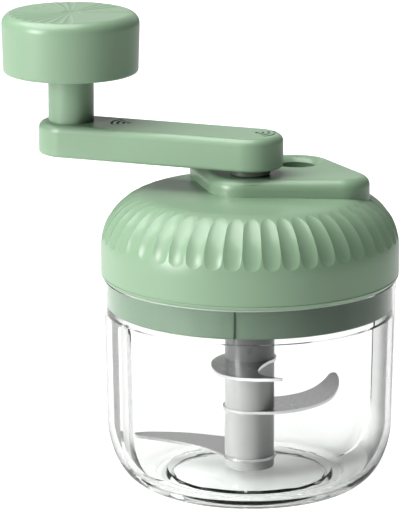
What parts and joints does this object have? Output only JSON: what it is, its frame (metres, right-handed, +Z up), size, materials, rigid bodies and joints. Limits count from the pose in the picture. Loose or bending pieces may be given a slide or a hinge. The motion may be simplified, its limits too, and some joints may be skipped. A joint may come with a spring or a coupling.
{
  "type": "crank food chopper",
  "caption": "Clear round cup with a stacked curved-blade column, a fluted domed lid with pouring port, and a crank arm with a round turning knob.",
  "frame": {"origin": "middle of the foot ring on the table, on the common axis of cup, crank and blade column", "axes": "+Z up along the crank axis; +Y to the back, +X to the right as the picture shows it; the arm points left and a little back at rest"},
  "size_m": [0.1212, 0.0906, 0.1427],
  "materials": {
    "clear_cup": "clear, glossy",
    "pin_steel": "ground",
    "green_gloss": "smooth moulded",
    "green_inner": "smooth moulded",
    "soft_seal": "soft, satin",
    "white_plastic": "natural plastic",
    "shaft_green": "smooth moulded",
    "coupler_plastic": "moulded",
    "screw_steel": "plated",
    "column_plastic": "moulded, satin",
    "column_grey": "moulded, satin",
    "blade_steel": "ground stainless"
  },
  "bodies": {
    "cup": {"cup": "clear_cup", "pivot_pin": "pin_steel"},
    "lid": {"lid_dome": "green_gloss", "inner_lid": "green_inner", "lid_gasket": "soft_seal", "crank_bearing": "white_plastic"},
    "crank": {"drive_shaft": "shaft_green", "thrust_washer": "white_plastic", "shaft_clip": "pin_steel", "drive_coupler": "coupler_plastic", "shaft_screws": "screw_steel", "arm_base": "green_inner", "arm_shell": "green_gloss", "knob_stem": "green_gloss", "stem_screw": "screw_steel", "knob_axle": "pin_steel"},
    "knob": {"knob_shell": "green_gloss", "knob_bottom_cover": "green_inner", "knob_bush": "white_plastic"},
    "blade_set": {"blade_spindle": "column_plastic", "lower_spacer": "column_plastic", "middle_spacer": "column_plastic", "upper_sleeve": "column_grey", "lower_blade": "blade_steel", "middle_blade": "blade_steel", "upper_blade": "blade_steel"}
  },
  "joints": [
    {"name": "lid_lift", "type": "slide", "parent": "cup", "child": "lid", "axis": [0, 0, 1], "range_m": [0, 0.06]},
    {"name": "crank_turn", "type": "hinge", "parent": "lid", "child": "crank", "pos_m": [0, 0, 0.0992], "axis": [0, 0, 1], "continuous": true},
    {"name": "knob_spin", "type": "hinge", "parent": "crank", "child": "knob", "pos_m": [-0.0547, 0.0202, 0.1244], "axis": [0, 0, 1], "continuous": true},
    {"name": "blade_spin", "type": "hinge", "parent": "cup", "child": "blade_set", "pos_m": [0, 0, 0.022], "axis": [0, 0, 1], "continuous": true}
  ],
  "couplings": [
    {"joint": "blade_spin", "follows": "crank_turn", "ratio": 1}
  ]
}
